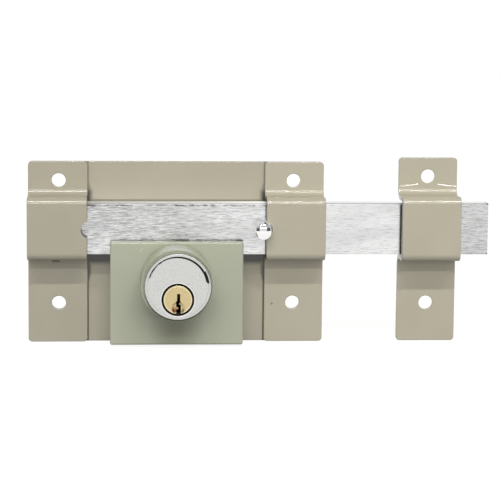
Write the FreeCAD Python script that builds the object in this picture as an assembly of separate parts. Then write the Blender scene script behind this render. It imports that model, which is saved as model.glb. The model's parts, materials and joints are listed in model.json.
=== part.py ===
import FreeCAD, Part
import math
import os

# Double cylinder rim lock with a hand-slid bar. Millimetres.
# X runs along the bar, Z is up and -Y faces the room. The back of the base plate lies on y = 0,
# and the origin is the centre of the four screw holes there.
# The part is drawn with the bar thrown through the strike and the lock open.

# How far a cut runs past the face that it goes through
cut_over = 1.0

# Base plate
plate_width = 131.6
plate_height = 81.0
plate_centre_z = -4.6
plate_thickness = 2.0
plate_corner = 1.7
hole_spacing_x = 104.5
hole_spacing_z = 55.0
hole_diameter = 6.3
hole_edge = 0.25
sheet_edge = 0.4

# Sliding bar
bar_length = 200.0
bar_height = 23.0
bar_thickness = 8.0
bar_bottom_z = -4.8
bar_right_end = 139.0
bar_edge = 0.7
bar_back_gap = 0.5
bar_front_gap = 2.9
bar_bottom_gap = 0.3
bar_top_gap = 0.8

# Stud that the hand pulls
knob_radius = 3.55
knob_height = 11.0
knob_rounding = 0.9
knob_dome_radius = 14.0
knob_shank_radius = 2.5
knob_notch_radius = 4.0
knob_notch_depth = 2.8
knob_stand_off = 0.5

# Guide brackets on the plate
bracket_width = 26.3
bracket_sheet = 2.0
bracket_bend = 1.4
bracket_foot_bend = 3.0
bracket_corner = 1.7

# Strike bracket on the frame
strike_left = 99.8
strike_width = 26.4
strike_height = 83.2
strike_centre_z = -3.7
strike_foot_bend = 3.0
strike_extra_room = 0.4
strike_hole_spacing = 57.4
strike_hole_centre_z = 0.8

# Lock cover
cover_width = 58.8
cover_top_z = 1.5
cover_height = 45.9
cover_depth = 14.0
cover_wall = 1.8
cover_rounding = 1.0
cover_face_rounding = 0.9
cover_bar_gap = 0.8
tab_length = 6.3
bottom_tab_spacing = 40.0
bottom_tab_width = 8.0
side_tab_top = -7.0
side_tab_width = 5.8
cover_screw_radius = 1.5
cover_screw_length = 3.7
cover_screw_head = 2.8

# Key cylinders
cylinder_axis_z = -15.2
cylinder_radius = 14.3
cylinder_length = 20.0
rim_width = 1.1
rim_depth = 0.4
rim_rounding = 0.3
seam_width = 0.45
seam_depth = 0.7
seam_turn = 35.0
seam_rise = 2.0
collar_wall = 0.95
collar_gap = 0.4
collar_shift = 0.25
collar_length = 18.4
collar_rounding = 0.45
plug_drop = 5.7
plug_radius = 6.0
plug_fit = 0.05
plug_head_radius = 6.27
plug_head_length = 2.2
plug_head_rounding = 0.25
plug_recess_radius = 6.87
plug_passage_gap = 0.25
clip_gap = 0.4
clip_land = 1.3
plug_mouth = 0.3
keyway_depth = 18.6
keyway_top = 2.6
keyway_step_z = -0.4
keyway_right = 1.3
keyway_left = -0.7
keyway_blade_right = 1.0
keyway_blade_left = -0.35
ward_height = 0.6
ward_slope = 0.3
right_ward_z = -1.7
right_ward_reach = 0.8
left_ward_z = -3.75
left_ward_reach = 0.9
dish_x = 0.1
dish_z = -3.6
dish_radius = 2.9
dish_floor_radius = 1.9
dish_depth = 0.8
pin_pitch = 3.5
first_pin = 4.2
pin_radius = 1.35
pin_clearance = 0.1
driver_length = 4.5
key_pin_longest = 5.0
key_step = 0.4
key_cuts = [0, 3, 2, 1, 0]
key_pin_trim = 0.05
pin_tip = 0.7
chamber_depth = 6.0
chamber_over = 0.1
pin_cover_width = 4.0
pin_cover_thickness = 1.4
spring_wall = 0.35
clip_thickness = 0.7
clip_groove = 0.6
clip_overhang = 1.4
clip_opening = 5.0
clip_opening_over = 3.0
cylinder_screw_radius = 1.5
cylinder_screw_head = 2.6
cylinder_screw_head_height = 1.6
cylinder_screw_x = 10.0
cylinder_screw_rise = 3.0
cylinder_screw_grip = 5.0

# Outer cylinder on the far face of the door
door_thickness = 38.0
outer_head_radius = 15.9
outer_head_thickness = 2.5
rose_radius = 21.5
rose_thickness = 1.6
rose_gap = 0.2
long_screw_radius = 2.0
long_screw_head = 3.6
long_screw_x = 11.0
long_screw_grip = 6.0
long_screw_clearance = 0.1

# Locking dog and the cam that lifts it
tooth_x = -17.0
tooth_width = 8.0
tooth_bite = 3.5
tooth_side_gap = 0.4
tooth_end_gap = 0.7
dog_left = -21.5
dog_right_wall = 3.0
dog_thickness = 6.2
dog_plate_gap = 0.4
dog_foot = 3.6
dog_shoulder = 4.2
dog_corner = 0.8
cam_radius = 9.0
cam_throw = 2.97
cam_slot_gap = 0.15
cam_side_gap = 0.3
cam_boss_radius = 6.0
cam_fit = 0.05
cam_bore = 4.5
cam_plate_gap = 0.3
lug_inner_radius = 2.4
lug_half_angle = 15.0
lug_root = 0.5
cam_half_sweep = 45.0
finger_reach = 4.2
finger_width = 2.2
finger_thickness = 2.6
finger_gap = 0.4
finger_rest_angle = -45.0
tail_radius = 2.1
tail_width = 4.0
tail_sheet = 1.6
tail_root = 2.0

# Rails of the dog
rail_width = 5.0
rail_top = -15.0
rail_bottom = -35.0
rail_side_gap = 0.3
rail_lip = 2.0
rail_lip_thickness = 1.5
rail_lip_gap = 0.3
rivet_radius = 1.2
rivet_depth = 5.0
rivet_edge = 1.5
rivet_spacing = 9.0
brake_sheet = 0.4
brake_length = 12.0
brake_width = 4.5
brake_rise = 2.0
brake_gap = 0.3
brake_room = 0.1

# Places worked out from the sizes above
front_of_plate = -plate_thickness
bar_back_y = front_of_plate - bar_back_gap
bar_front_y = bar_back_y - bar_thickness
strap_inner_y = bar_front_y - bar_front_gap
strap_front_y = strap_inner_y - bracket_sheet
bar_top_z = bar_bottom_z + bar_height
bar_centre_z = bar_bottom_z + bar_height / 2
bar_left_end = bar_right_end - bar_length
tunnel_bottom_z = bar_bottom_z - bar_bottom_gap
tunnel_top_z = bar_top_z + bar_top_gap
plate_top_z = plate_centre_z + plate_height / 2
plate_bottom_z = plate_centre_z - plate_height / 2
bracket_inner_x = plate_width / 2 - bracket_width
knob_notch_x = bracket_inner_x + knob_notch_depth - knob_notch_radius
knob_x = knob_notch_x - knob_stand_off
bar_travel = knob_x + knob_notch_x
cover_front_y = front_of_plate - cover_depth
cover_inner_y = cover_front_y + cover_wall
cover_bottom_z = cover_top_z - cover_height
inner_face_y = cover_front_y - cylinder_length
plug_axis_z = cylinder_axis_z - plug_drop
bore_radius = plug_radius + plug_fit
clip_place = cylinder_length + cover_wall + clip_gap
plug_end = clip_place + clip_thickness + clip_land
chamber_radius = pin_radius + pin_clearance
cam_side = cam_throw * math.cos(math.radians(cam_half_sweep))
cam_drop = cam_throw * math.sin(math.radians(cam_half_sweep))
cam_lift = 2 * cam_drop
dog_back_y = front_of_plate - dog_plate_gap
dog_front_y = dog_back_y - dog_thickness
tooth_top_z = bar_bottom_z - tooth_end_gap
dog_top_z = tooth_top_z - dog_shoulder
cam_centre_x = -cam_side
cam_centre_z = plug_axis_z - cam_drop
window_left = -cam_throw - cam_radius - cam_side_gap
window_right = cam_centre_x + cam_radius + cam_side_gap
window_half_height = cam_radius + cam_slot_gap
dog_right = window_right + dog_right_wall
dog_bottom_z = cam_centre_z - window_half_height - dog_foot
outer_face_y = door_thickness + outer_head_thickness + rose_thickness
dog_middle_y = (dog_back_y + dog_front_y) / 2
rail_middle_z = (rail_top + rail_bottom) / 2


def box(x0, x1, y0, y1, z0, z1):
    lowest = FreeCAD.Vector(min(x0, x1), min(y0, y1), min(z0, z1))
    return Part.makeBox(abs(x1 - x0), abs(y1 - y0), abs(z1 - z0), lowest)


def rod(radius, y0, y1, x, z):
    """A round rod along Y."""
    start = FreeCAD.Vector(x, min(y0, y1), z)
    return Part.makeCylinder(radius, abs(y1 - y0), start, FreeCAD.Vector(0, 1, 0))


def post(radius, z0, z1, x, y):
    """A round post along Z."""
    start = FreeCAD.Vector(x, y, min(z0, z1))
    return Part.makeCylinder(radius, abs(z1 - z0), start)


def cone(r0, r1, y0, y1, x, z):
    """A cone along Y, from radius r0 at y0 to r1 at y1."""
    direction = FreeCAD.Vector(0, math.copysign(1, y1 - y0), 0)
    return Part.makeCone(r0, r1, abs(y1 - y0), FreeCAD.Vector(x, y0, z), direction)


def prism_along_x(points, x0, x1):
    """The closed outline of (y, z) points, pushed out along X."""
    corners = [FreeCAD.Vector(x0, y, z) for y, z in points]
    outline = Part.makePolygon(corners + corners[:1])
    return Part.Face(outline).extrude(FreeCAD.Vector(x1 - x0, 0, 0))


def prism_along_y(points, y0, y1):
    """The closed outline of (x, z) points, pushed out along Y."""
    corners = [FreeCAD.Vector(x, y0, z) for x, z in points]
    outline = Part.makePolygon(corners + corners[:1])
    return Part.Face(outline).extrude(FreeCAD.Vector(0, y1 - y0, 0))


def edges_along(shape, axis, places):
    """The straight edges along an axis whose middle lies at one of the given places."""
    others = [i for i in range(3) if i != axis]
    found = []
    for edge in shape.Edges:
        if edge.Curve.TypeId != "Part::GeomLine":
            continue
        ends = [vertex.Point for vertex in edge.Vertexes]
        if abs(abs(ends[1][axis] - ends[0][axis]) - edge.Length) > 1e-6:
            continue
        middle = (ends[0] + ends[1]) * 0.5
        for place in places:
            if all(abs(middle[i] - place[k]) < 1e-4 for k, i in enumerate(others)):
                found.append(edge)
                break
    return found


def round_edges(shape, radius, axis, places):
    return shape.makeFillet(radius, edges_along(shape, axis, places))


def circle_edges(shape, radius, y):
    """The round edges of one radius that lie in one plane across Y."""
    found = []
    for edge in shape.Edges:
        if edge.Curve.TypeId != "Part::GeomCircle":
            continue
        if abs(edge.Curve.Radius - radius) < 1e-4 and abs(edge.Curve.Center.y - y) < 1e-4:
            found.append(edge)
    return found


def joined(shapes):
    result = shapes[0].multiFuse(shapes[1:]) if len(shapes) > 1 else shapes[0]
    return result.removeSplitter()


def turned(shape, angle, x, z):
    """Clockwise in degrees, seen from the front, about an axis along Y."""
    copy = shape.copy()
    copy.rotate(FreeCAD.Vector(x, 0, z), FreeCAD.Vector(0, 1, 0), angle)
    return copy


def base_plate():
    half = plate_width / 2
    plate = box(-half, half, 0, front_of_plate, plate_bottom_z, plate_top_z)
    corners = [(x, z) for x in (-half, half) for z in (plate_bottom_z, plate_top_z)]
    plate = round_edges(plate, plate_corner, 1, corners)
    front = [edge for edge in plate.Edges
             if all(abs(vertex.Point.y - front_of_plate) < 1e-6 for vertex in edge.Vertexes)]
    plate = plate.makeFillet(sheet_edge, front)
    cuts = []
    for x in (-hole_spacing_x / 2, hole_spacing_x / 2):
        for z in (-hole_spacing_z / 2, hole_spacing_z / 2):
            cuts.append(rod(hole_diameter / 2, cut_over, front_of_plate - cut_over, x, z))
    cuts.append(rod(cam_boss_radius + cam_fit, cut_over, front_of_plate - cut_over, 0, plug_axis_z))
    for x in (-long_screw_x, long_screw_x):
        cuts.append(long_screw_cut(x))
    for x, z in cover_screw_places():
        cuts.append(rod(cover_screw_radius, cut_over, front_of_plate - cut_over, x, z))
        cuts.append(cone(cover_screw_head, cover_screw_radius, 0,
                         cover_screw_radius - cover_screw_head, x, z))
    for x, z in rivet_places():
        cuts.append(rod(rivet_radius, cut_over, front_of_plate - cut_over, x, z))
    return plate.cut(cuts)


def long_screw_cut(x):
    shank = rod(long_screw_radius + long_screw_clearance, front_of_plate - cut_over, cut_over,
                x, cylinder_axis_z)
    head = cone(long_screw_head, long_screw_radius, front_of_plate,
                front_of_plate + long_screw_head - long_screw_radius, x, cylinder_axis_z)
    return shank.fuse(head)


def screw_hole(x, z, front_y):
    """Punched hole with its front edge broken, from the front face back through the base plate."""
    radius = hole_diameter / 2
    through = rod(radius, cut_over, front_y - cut_over, x, z)
    edge = cone(radius + hole_edge + cut_over, radius, front_y - cut_over, front_y + hole_edge, x, z)
    return through.fuse(edge)


def bracket(left, width, foot_back, bottom, top, tunnel_low, tunnel_high, foot_bend):
    """Sheet bent into a foot, a raised strap over the bar and a second foot.

    A block with the sheet's front skin gets the outer bends and the rounded rim, and what lies
    behind the sheet is then cut away."""
    foot_front = foot_back - bracket_sheet
    low = tunnel_low - bracket_sheet
    high = tunnel_high + bracket_sheet
    right = left + width
    behind = foot_back + foot_bend + bracket_sheet
    block = prism_along_x([
        (behind, top), (foot_front, top), (foot_front, high), (strap_front_y, high),
        (strap_front_y, low), (foot_front, low), (foot_front, bottom), (behind, bottom)], left, right)
    block = round_edges(block, bracket_bend + bracket_sheet, 0, [(strap_front_y, low), (strap_front_y, high)])
    block = round_edges(block, foot_bend, 0, [(foot_front, low), (foot_front, high)])
    block = round_edges(block, bracket_corner, 1, [(x, z) for x in (left, right) for z in (bottom, top)])
    block = block.makeFillet(sheet_edge, rim_edges(block, left, right, behind, low, high))
    hollow = prism_along_x([
        (foot_back, top + cut_over), (foot_back, tunnel_high), (strap_inner_y, tunnel_high),
        (strap_inner_y, tunnel_low), (foot_back, tunnel_low), (foot_back, bottom - cut_over),
        (behind + cut_over, bottom - cut_over), (behind + cut_over, top + cut_over)],
        left - cut_over, right + cut_over)
    hollow = round_edges(hollow, bracket_bend, 0, [(strap_inner_y, tunnel_low), (strap_inner_y, tunnel_high)])
    hollow = round_edges(hollow, foot_bend + bracket_sheet, 0,
                         [(foot_back, tunnel_low), (foot_back, tunnel_high)])
    return block.cut(hollow)


def rim_edges(block, left, right, behind, low, high):
    """The edges round the front skin of a bent strip: both flanks, both ends and the corners."""
    found = []
    for edge in block.Edges:
        points = [vertex.Point for vertex in edge.Vertexes]
        if any(abs(point.y - behind) < 1e-6 for point in points):
            continue
        across = abs(points[0].x - points[-1].x) > 1e-6
        on_flank = not across and min(abs(points[0].x - left), abs(points[0].x - right)) < 1e-6
        at_end = min(abs(points[0].z - block.BoundBox.ZMin), abs(points[0].z - block.BoundBox.ZMax)) < 1e-6
        is_corner = edge.Curve.TypeId == "Part::GeomCircle" and abs(edge.Curve.Axis.y) > 0.5
        is_seam = (edge.Curve.TypeId == "Part::GeomLine" and abs(points[0].y - points[-1].y) > 1e-6
                   and min(abs(points[0].z - low), abs(points[0].z - high)) > 1e-6)
        if is_seam:
            continue
        if on_flank or is_corner or (across and at_end):
            found.append(edge)
    return found


def guide_bracket(side):
    """side is -1 for the left bracket and 1 for the right one."""
    left = bracket_inner_x if side > 0 else -plate_width / 2
    strip = bracket(left, bracket_width, front_of_plate, plate_bottom_z, plate_top_z,
                    tunnel_bottom_z, tunnel_top_z, bracket_foot_bend)
    cuts = [rod(knob_notch_radius, strap_front_y - cut_over, strap_inner_y + cut_over,
                side * knob_notch_x, bar_centre_z)]
    for z in (-hole_spacing_z / 2, hole_spacing_z / 2):
        cuts.append(screw_hole(side * hole_spacing_x / 2, z, front_of_plate - bracket_sheet))
    return strip.cut(cuts)


def strike_bracket():
    bottom = strike_centre_z - strike_height / 2
    strip = bracket(strike_left, strike_width, 0, bottom, bottom + strike_height,
                    tunnel_bottom_z - strike_extra_room, tunnel_top_z + strike_extra_room,
                    strike_foot_bend)
    middle = strike_left + strike_width / 2
    places = [strike_hole_centre_z + side * strike_hole_spacing / 2 for side in (-1, 1)]
    return strip.cut([screw_hole(middle, z, -bracket_sheet) for z in places])


def bolt_bar():
    """Flat bar with one notch for each place where the dog can hold it."""
    bar = box(bar_left_end, bar_right_end, bar_back_y, bar_front_y, bar_bottom_z, bar_top_z)
    corners = [(y, z) for y in (bar_back_y, bar_front_y) for z in (bar_bottom_z, bar_top_z)]
    bar = round_edges(bar, bar_edge, 0, corners)
    half = tooth_width / 2 + tooth_side_gap
    cuts = [rod(knob_shank_radius, bar_back_y + cut_over, bar_front_y - cut_over, knob_x, bar_centre_z)]
    for shift in (0, bar_travel):
        x = tooth_x + shift
        cuts.append(box(x - half, x + half, bar_back_y + cut_over, bar_front_y - cut_over,
                        bar_bottom_z - cut_over, bar_bottom_z + tooth_bite + tooth_end_gap))
    return bar.cut(cuts)


def bolt_knob():
    face_y = bar_front_y - knob_height
    dome_centre = FreeCAD.Vector(knob_x, face_y + knob_dome_radius, bar_centre_z)
    head = rod(knob_radius, bar_front_y, face_y, knob_x, bar_centre_z)
    head = head.common(Part.makeSphere(knob_dome_radius, dome_centre))
    dome_edge_y = dome_centre.y - math.sqrt(knob_dome_radius ** 2 - knob_radius ** 2)
    head = head.makeFillet(knob_rounding, circle_edges(head, knob_radius, dome_edge_y))
    shank = rod(knob_shank_radius, bar_back_y, bar_front_y, knob_x, bar_centre_z)
    return joined([head, shank])


def cover_screw_places():
    side_x = cover_width / 2 - cover_wall - side_tab_width / 2
    side_z = side_tab_top - tab_length / 2
    bottom_z = cover_bottom_z + cover_wall + tab_length / 2
    return [(-side_x, side_z), (side_x, side_z),
            (-bottom_tab_spacing / 2, bottom_z), (bottom_tab_spacing / 2, bottom_z)]


def lock_cover():
    """Drawn sheet cover, open at the back and cut away where the bar passes."""
    half = cover_width / 2
    inner_half = half - cover_wall
    shell = box(-half, half, front_of_plate, cover_front_y, cover_bottom_z, cover_top_z)
    corners = [(x, z) for x in (-half, half) for z in (cover_bottom_z, cover_top_z)]
    shell = round_edges(shell, cover_rounding, 1, corners)
    front = [edge for edge in shell.Edges
             if all(abs(vertex.Point.y - cover_front_y) < 1e-6 for vertex in edge.Vertexes)]
    shell = shell.makeFillet(cover_face_rounding, front)
    inside = box(-inner_half, inner_half, front_of_plate + cut_over, cover_inner_y,
                 cover_bottom_z + cover_wall, cover_top_z - cover_wall)
    passage = box(-half - cut_over, half + cut_over, front_of_plate + cut_over, bar_front_y - cover_bar_gap,
                  bar_bottom_z - cover_bar_gap, cover_top_z + cut_over)
    shell = shell.cut([inside, passage])
    tab_front = front_of_plate - cover_wall
    tabs = []
    for x, z in cover_screw_places():
        if z > plug_axis_z:
            wall_x = math.copysign(inner_half, x)
            tabs.append(box(wall_x, wall_x - math.copysign(side_tab_width, x),
                            front_of_plate, tab_front, side_tab_top - tab_length, side_tab_top))
        else:
            tabs.append(box(x - bottom_tab_width / 2, x + bottom_tab_width / 2,
                            front_of_plate, tab_front, cover_bottom_z + cover_wall,
                            cover_bottom_z + cover_wall + tab_length))
    shell = joined([shell] + tabs)
    cuts = [rod(plug_head_radius + plug_passage_gap, cover_inner_y + cut_over,
                cover_front_y - cut_over, 0, plug_axis_z)]
    for x, z in cover_screw_places():
        cuts.append(rod(cover_screw_radius, front_of_plate + cut_over, tab_front - cut_over, x, z))
    for x in (-cylinder_screw_x, cylinder_screw_x):
        cuts.append(rod(cylinder_screw_radius, cover_inner_y + cut_over, cover_front_y - cut_over,
                        x, cylinder_axis_z + cylinder_screw_rise))
    return shell.cut(cuts)


def cover_screws():
    screws = []
    for x, z in cover_screw_places():
        head_end = cover_screw_radius - cover_screw_head
        head = cone(cover_screw_head, cover_screw_radius, 0, head_end, x, z)
        shank = rod(cover_screw_radius, head_end, -cover_screw_length, x, z)
        screws.append(joined([head, shank]))
    return Part.makeCompound(screws)


def cylinder_collar():
    """Tube that shields the inner cylinder, standing on the cover a little up and to the left of it."""
    inner = cylinder_radius + collar_gap
    outer = inner + collar_wall
    x = -collar_shift
    z = cylinder_axis_z + collar_shift
    end_y = cover_front_y - collar_length
    tube = rod(outer, cover_front_y, end_y, x, z)
    tube = tube.makeFillet(collar_rounding, circle_edges(tube, outer, end_y))
    return tube.cut(rod(inner, cover_front_y + cut_over, end_y - cut_over, x, z))


def pin_places():
    """Distance of each pin from the cylinder's face."""
    return [first_pin + pin_pitch * i for i in range(len(key_cuts))]


class KeyCylinder:
    """One pin tumbler cylinder. into is 1 when its face looks to -Y and -1 when it looks to +Y."""

    def __init__(self, face_y, into):
        self.face_y = face_y
        self.into = into

    def at(self, distance):
        """The Y place that lies this far behind the face."""
        return self.face_y + self.into * distance

    def body(self, head_radius):
        """A head wider than the shell is a flange that bears on the rose."""
        shell = rod(cylinder_radius, self.face_y, self.at(cylinder_length), 0, cylinder_axis_z)
        head = rod(head_radius, self.face_y, self.at(outer_head_thickness), 0, cylinder_axis_z)
        front_edge = circle_edges(head, head_radius, self.face_y)
        head = head.makeFillet(rim_rounding, front_edge)
        if head_radius == cylinder_radius:
            shell = shell.makeFillet(rim_rounding, circle_edges(shell, head_radius, self.face_y))
        else:
            shell = joined([shell, head])
        face_radius = cylinder_radius - rim_width
        cuts = [
            rod(face_radius, self.at(-cut_over), self.at(rim_depth), 0, cylinder_axis_z),
            rod(bore_radius, self.at(-cut_over), self.at(cylinder_length + cut_over), 0, plug_axis_z),
            rod(plug_recess_radius, self.at(-cut_over), self.at(rim_depth + plug_head_length),
                0, plug_axis_z),
            cone(plug_recess_radius + plug_mouth, plug_recess_radius,
                 self.at(rim_depth), self.at(rim_depth + plug_mouth), 0, plug_axis_z),
            self.face_seam(face_radius),
        ]
        cover_bottom = self.pin_cover_bottom()
        for distance in pin_places():
            cuts.append(post(chamber_radius, plug_axis_z, cover_bottom + chamber_over, 0,
                             self.at(distance)))
        half = pin_cover_width / 2
        cuts.append(box(-half, half, self.at(first_pin - pin_pitch / 2), self.at(cylinder_length + cut_over),
                        cover_bottom, cylinder_axis_z + cylinder_radius + cut_over))
        return shell.cut(cuts)

    def face_seam(self, face_radius):
        """Crescent slit between the rim and a face disc that sits a little off centre."""
        near = self.at(rim_depth - cut_over)
        far = self.at(rim_depth + seam_depth)
        turn = math.radians(seam_turn)
        ring = rod(face_radius, near, far, 0, cylinder_axis_z)
        disc = rod(face_radius - seam_width, near, far, -seam_width * math.cos(turn),
                   cylinder_axis_z - seam_width * math.sin(turn))
        above = box(-face_radius, face_radius, near, far, cylinder_axis_z + seam_rise,
                    cylinder_axis_z + face_radius)
        return ring.cut(disc).common(above)

    def pin_cover_bottom(self):
        top = math.sqrt(cylinder_radius ** 2 - (pin_cover_width / 2) ** 2)
        return cylinder_axis_z + top - pin_cover_thickness

    def spring_cover(self):
        half = pin_cover_width / 2
        strip = box(-half, half, self.at(first_pin - pin_pitch / 2), self.at(cylinder_length),
                    self.pin_cover_bottom(), cylinder_axis_z + cylinder_radius + cut_over)
        return strip.common(rod(cylinder_radius, self.face_y, self.at(cylinder_length),
                                0, cylinder_axis_z))

    def driver_pins(self):
        low = plug_axis_z + bore_radius
        pins = []
        for distance in pin_places():
            pin = post(pin_radius, low, low + driver_length, 0, self.at(distance))
            trim = rod(bore_radius, self.face_y, self.at(cylinder_length), 0, plug_axis_z)
            pins.append(pin.cut(trim))
        return Part.makeCompound(pins)

    def pin_springs(self):
        low = plug_axis_z + bore_radius + driver_length
        springs = []
        for distance in pin_places():
            y = self.at(distance)
            coil = post(pin_radius, low, self.pin_cover_bottom(), 0, y)
            springs.append(coil.cut(post(pin_radius - spring_wall, low - cut_over, 0, 0, y)))
        return Part.makeCompound(springs)

    def plug(self):
        start = self.at(rim_depth)
        end = self.at(plug_end)
        core = rod(plug_radius, start, end, 0, plug_axis_z)
        head = rod(plug_head_radius, start, self.at(rim_depth + plug_head_length), 0, plug_axis_z)
        head = head.makeFillet(plug_head_rounding, circle_edges(head, plug_head_radius, start))
        core = joined([core, head])
        cuts = [keyway(self.at(-cut_over), self.at(keyway_depth)),
                cone(dish_radius, dish_floor_radius, start, self.at(rim_depth + dish_depth),
                     dish_x, plug_axis_z + dish_z)]
        for distance in pin_places():
            cuts.append(post(chamber_radius, plug_axis_z + plug_radius - chamber_depth,
                             plug_axis_z + plug_radius + cut_over, 0, self.at(distance)))
        cuts.append(rod(tail_radius, end, self.at(plug_end - tail_root), 0, plug_axis_z))
        groove = rod(plug_radius + cut_over, self.at(clip_place), self.at(clip_place + clip_thickness),
                     0, plug_axis_z)
        groove = groove.cut(rod(plug_radius - clip_groove, self.at(0), end, 0, plug_axis_z))
        return core.cut(cuts + [groove])

    def plug_clip(self):
        near = self.at(clip_place)
        far = self.at(clip_place + clip_thickness)
        ring = rod(plug_radius + clip_overhang, near, far, 0, plug_axis_z)
        ring = ring.cut(rod(plug_radius - clip_groove, near, far, 0, plug_axis_z))
        gap = box(-clip_opening / 2, clip_opening / 2, near, far,
                  plug_axis_z - plug_radius - clip_opening_over, plug_axis_z)
        return ring.cut(gap)

    def key_pins(self):
        pins = []
        top_limit = rod(plug_radius - key_pin_trim, self.face_y, self.at(plug_end), 0, plug_axis_z)
        high = plug_axis_z + plug_radius
        for cut, distance in zip(key_cuts, pin_places()):
            length = key_pin_longest - key_step * cut
            y = self.at(distance)
            shaft = post(pin_radius, high - length, high, 0, y)
            tip_start = FreeCAD.Vector(0, y, high - length - pin_tip)
            tip = Part.makeCone(pin_radius - pin_tip, pin_radius, pin_tip, tip_start)
            pins.append(joined([shaft, tip]).common(top_limit))
        return Part.makeCompound(pins)


def ward(edge, reach, middle_z):
    """Points of one ward that stands into the keyway from its edge, from the top down."""
    tip = ward_height / 2
    root = tip + ward_slope
    return [(edge, middle_z + root), (edge + reach, middle_z + tip),
            (edge + reach, middle_z - tip), (edge, middle_z - root)]


def keyway(y0, y1):
    """Warded slot, open at the foot of the plug: a narrow blade slot above a step, wider below."""
    foot = -plug_head_radius - cut_over
    outline = [(keyway_blade_left, keyway_top), (keyway_blade_right, keyway_top),
               (keyway_blade_right, keyway_step_z)]
    outline += ward(keyway_right, -right_ward_reach, right_ward_z)
    outline += [(keyway_right, foot), (keyway_left, foot)]
    outline += reversed(ward(keyway_left, left_ward_reach, left_ward_z))
    outline += [(keyway_left, keyway_step_z), (keyway_blade_left, keyway_step_z)]
    return prism_along_y([(x, plug_axis_z + z) for x, z in outline], y0, y1)


inner_cylinder = KeyCylinder(inner_face_y, 1)
outer_cylinder = KeyCylinder(outer_face_y, -1)


def finger(y0, y1, angle):
    """Flat arm on a tail, pointing up before it is turned."""
    arm = box(-finger_width / 2, finger_width / 2, y0, y1, plug_axis_z, plug_axis_z + finger_reach)
    tip = rod(finger_reach, y0, y1, 0, plug_axis_z)
    return turned(arm.common(tip), angle, 0, plug_axis_z)


def inner_tailpiece():
    near = dog_middle_y - finger_gap
    shaft = rod(tail_radius, inner_cylinder.at(plug_end - tail_root), near, 0, plug_axis_z)
    return joined([shaft, finger(near, near - finger_thickness, finger_rest_angle)])


def outer_tailpiece():
    far = outer_cylinder.at(plug_end - tail_root)
    near = dog_middle_y + finger_gap
    blade = box(-tail_width / 2, tail_width / 2, far, near,
                plug_axis_z - tail_sheet / 2, plug_axis_z + tail_sheet / 2)
    blade = blade.common(rod(tail_radius, far, near, 0, plug_axis_z))
    hub = rod(tail_radius, near, near + finger_thickness, 0, plug_axis_z)
    root = rod(tail_radius, far, outer_cylinder.at(plug_end), 0, plug_axis_z)
    return joined([blade, hub, root, finger(near, near + finger_thickness, 180)])


def cam_hub():
    """Round cam set off its axis, with one lug in its bore that both keys' fingers can push."""
    rear_y = front_of_plate - cam_plate_gap
    boss = rod(cam_boss_radius, 0, rear_y, 0, plug_axis_z)
    disc = rod(cam_radius, rear_y, dog_front_y, cam_centre_x, cam_centre_z)
    bore = rod(cam_bore, cut_over, dog_front_y - cut_over, 0, plug_axis_z)
    hub = joined([boss, disc]).cut(bore)
    reach = cam_bore + lug_root
    half = math.radians(lug_half_angle)
    wedge = prism_along_y([(0, plug_axis_z),
                           (-reach * math.tan(half), plug_axis_z + reach),
                           (reach * math.tan(half), plug_axis_z + reach)], 0, dog_front_y)
    ring = rod(reach, 0, dog_front_y, 0, plug_axis_z)
    ring = ring.cut(rod(lug_inner_radius, 0, dog_front_y, 0, plug_axis_z))
    return joined([hub, wedge.common(ring)])


def locking_dog():
    """Sliding plate: its window rides on the cam and its tooth enters the bar."""
    half_tooth = tooth_width / 2
    outline = [
        (dog_left, dog_bottom_z), (dog_right, dog_bottom_z), (dog_right, dog_top_z),
        (tooth_x + half_tooth, dog_top_z), (tooth_x + half_tooth, tooth_top_z),
        (tooth_x - half_tooth, tooth_top_z), (tooth_x - half_tooth, dog_top_z),
        (dog_left, dog_top_z),
    ]
    plate = prism_along_y(outline, dog_back_y, dog_front_y)
    plate = round_edges(plate, dog_corner, 1, [
        (dog_left, dog_bottom_z), (dog_right, dog_bottom_z), (dog_right, dog_top_z),
        (tooth_x + half_tooth, tooth_top_z), (tooth_x - half_tooth, tooth_top_z)])
    window = box(window_left, window_right, 0, dog_front_y - cut_over,
                 cam_centre_z - window_half_height, cam_centre_z + window_half_height)
    return plate.cut(window)


def rail_places():
    """Inner edge of each rail and the way it faces away from the dog."""
    return [(dog_left - rail_side_gap, -1), (dog_right + rail_side_gap, 1)]


def rivet_places():
    return [(edge + side * (rail_width - rivet_edge), rail_middle_z + half * rivet_spacing / 2)
            for edge, side in rail_places() for half in (-1, 1)]


def dog_rail(edge, side, pocket):
    """Rail with a lip that keeps the dog against the plate."""
    lip_back = dog_front_y - rail_lip_gap
    lip_front = lip_back - rail_lip_thickness
    outer = edge + side * rail_width
    rail = joined([
        box(edge, outer, front_of_plate, lip_front, rail_bottom, rail_top),
        box(edge - side * rail_lip, outer, lip_back, lip_front, rail_bottom, rail_top),
    ])
    cuts = [rod(rivet_radius, 0, front_of_plate - rivet_depth, x, z)
            for x, z in rivet_places() if x * side > 0]
    if pocket:
        half = brake_length / 2 + brake_room
        half_width = brake_width / 2 + brake_room
        back_x = dog_right + brake_gap + brake_rise + brake_sheet + brake_room
        cuts.append(box(edge - side, back_x, dog_middle_y - half_width, dog_middle_y + half_width,
                        rail_middle_z - half, rail_middle_z + half))
    return rail.cut(cuts)


def guide_rivets():
    return Part.makeCompound([rod(rivet_radius, 0, front_of_plate - rivet_depth, x, z)
                              for x, z in rivet_places()])


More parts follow.
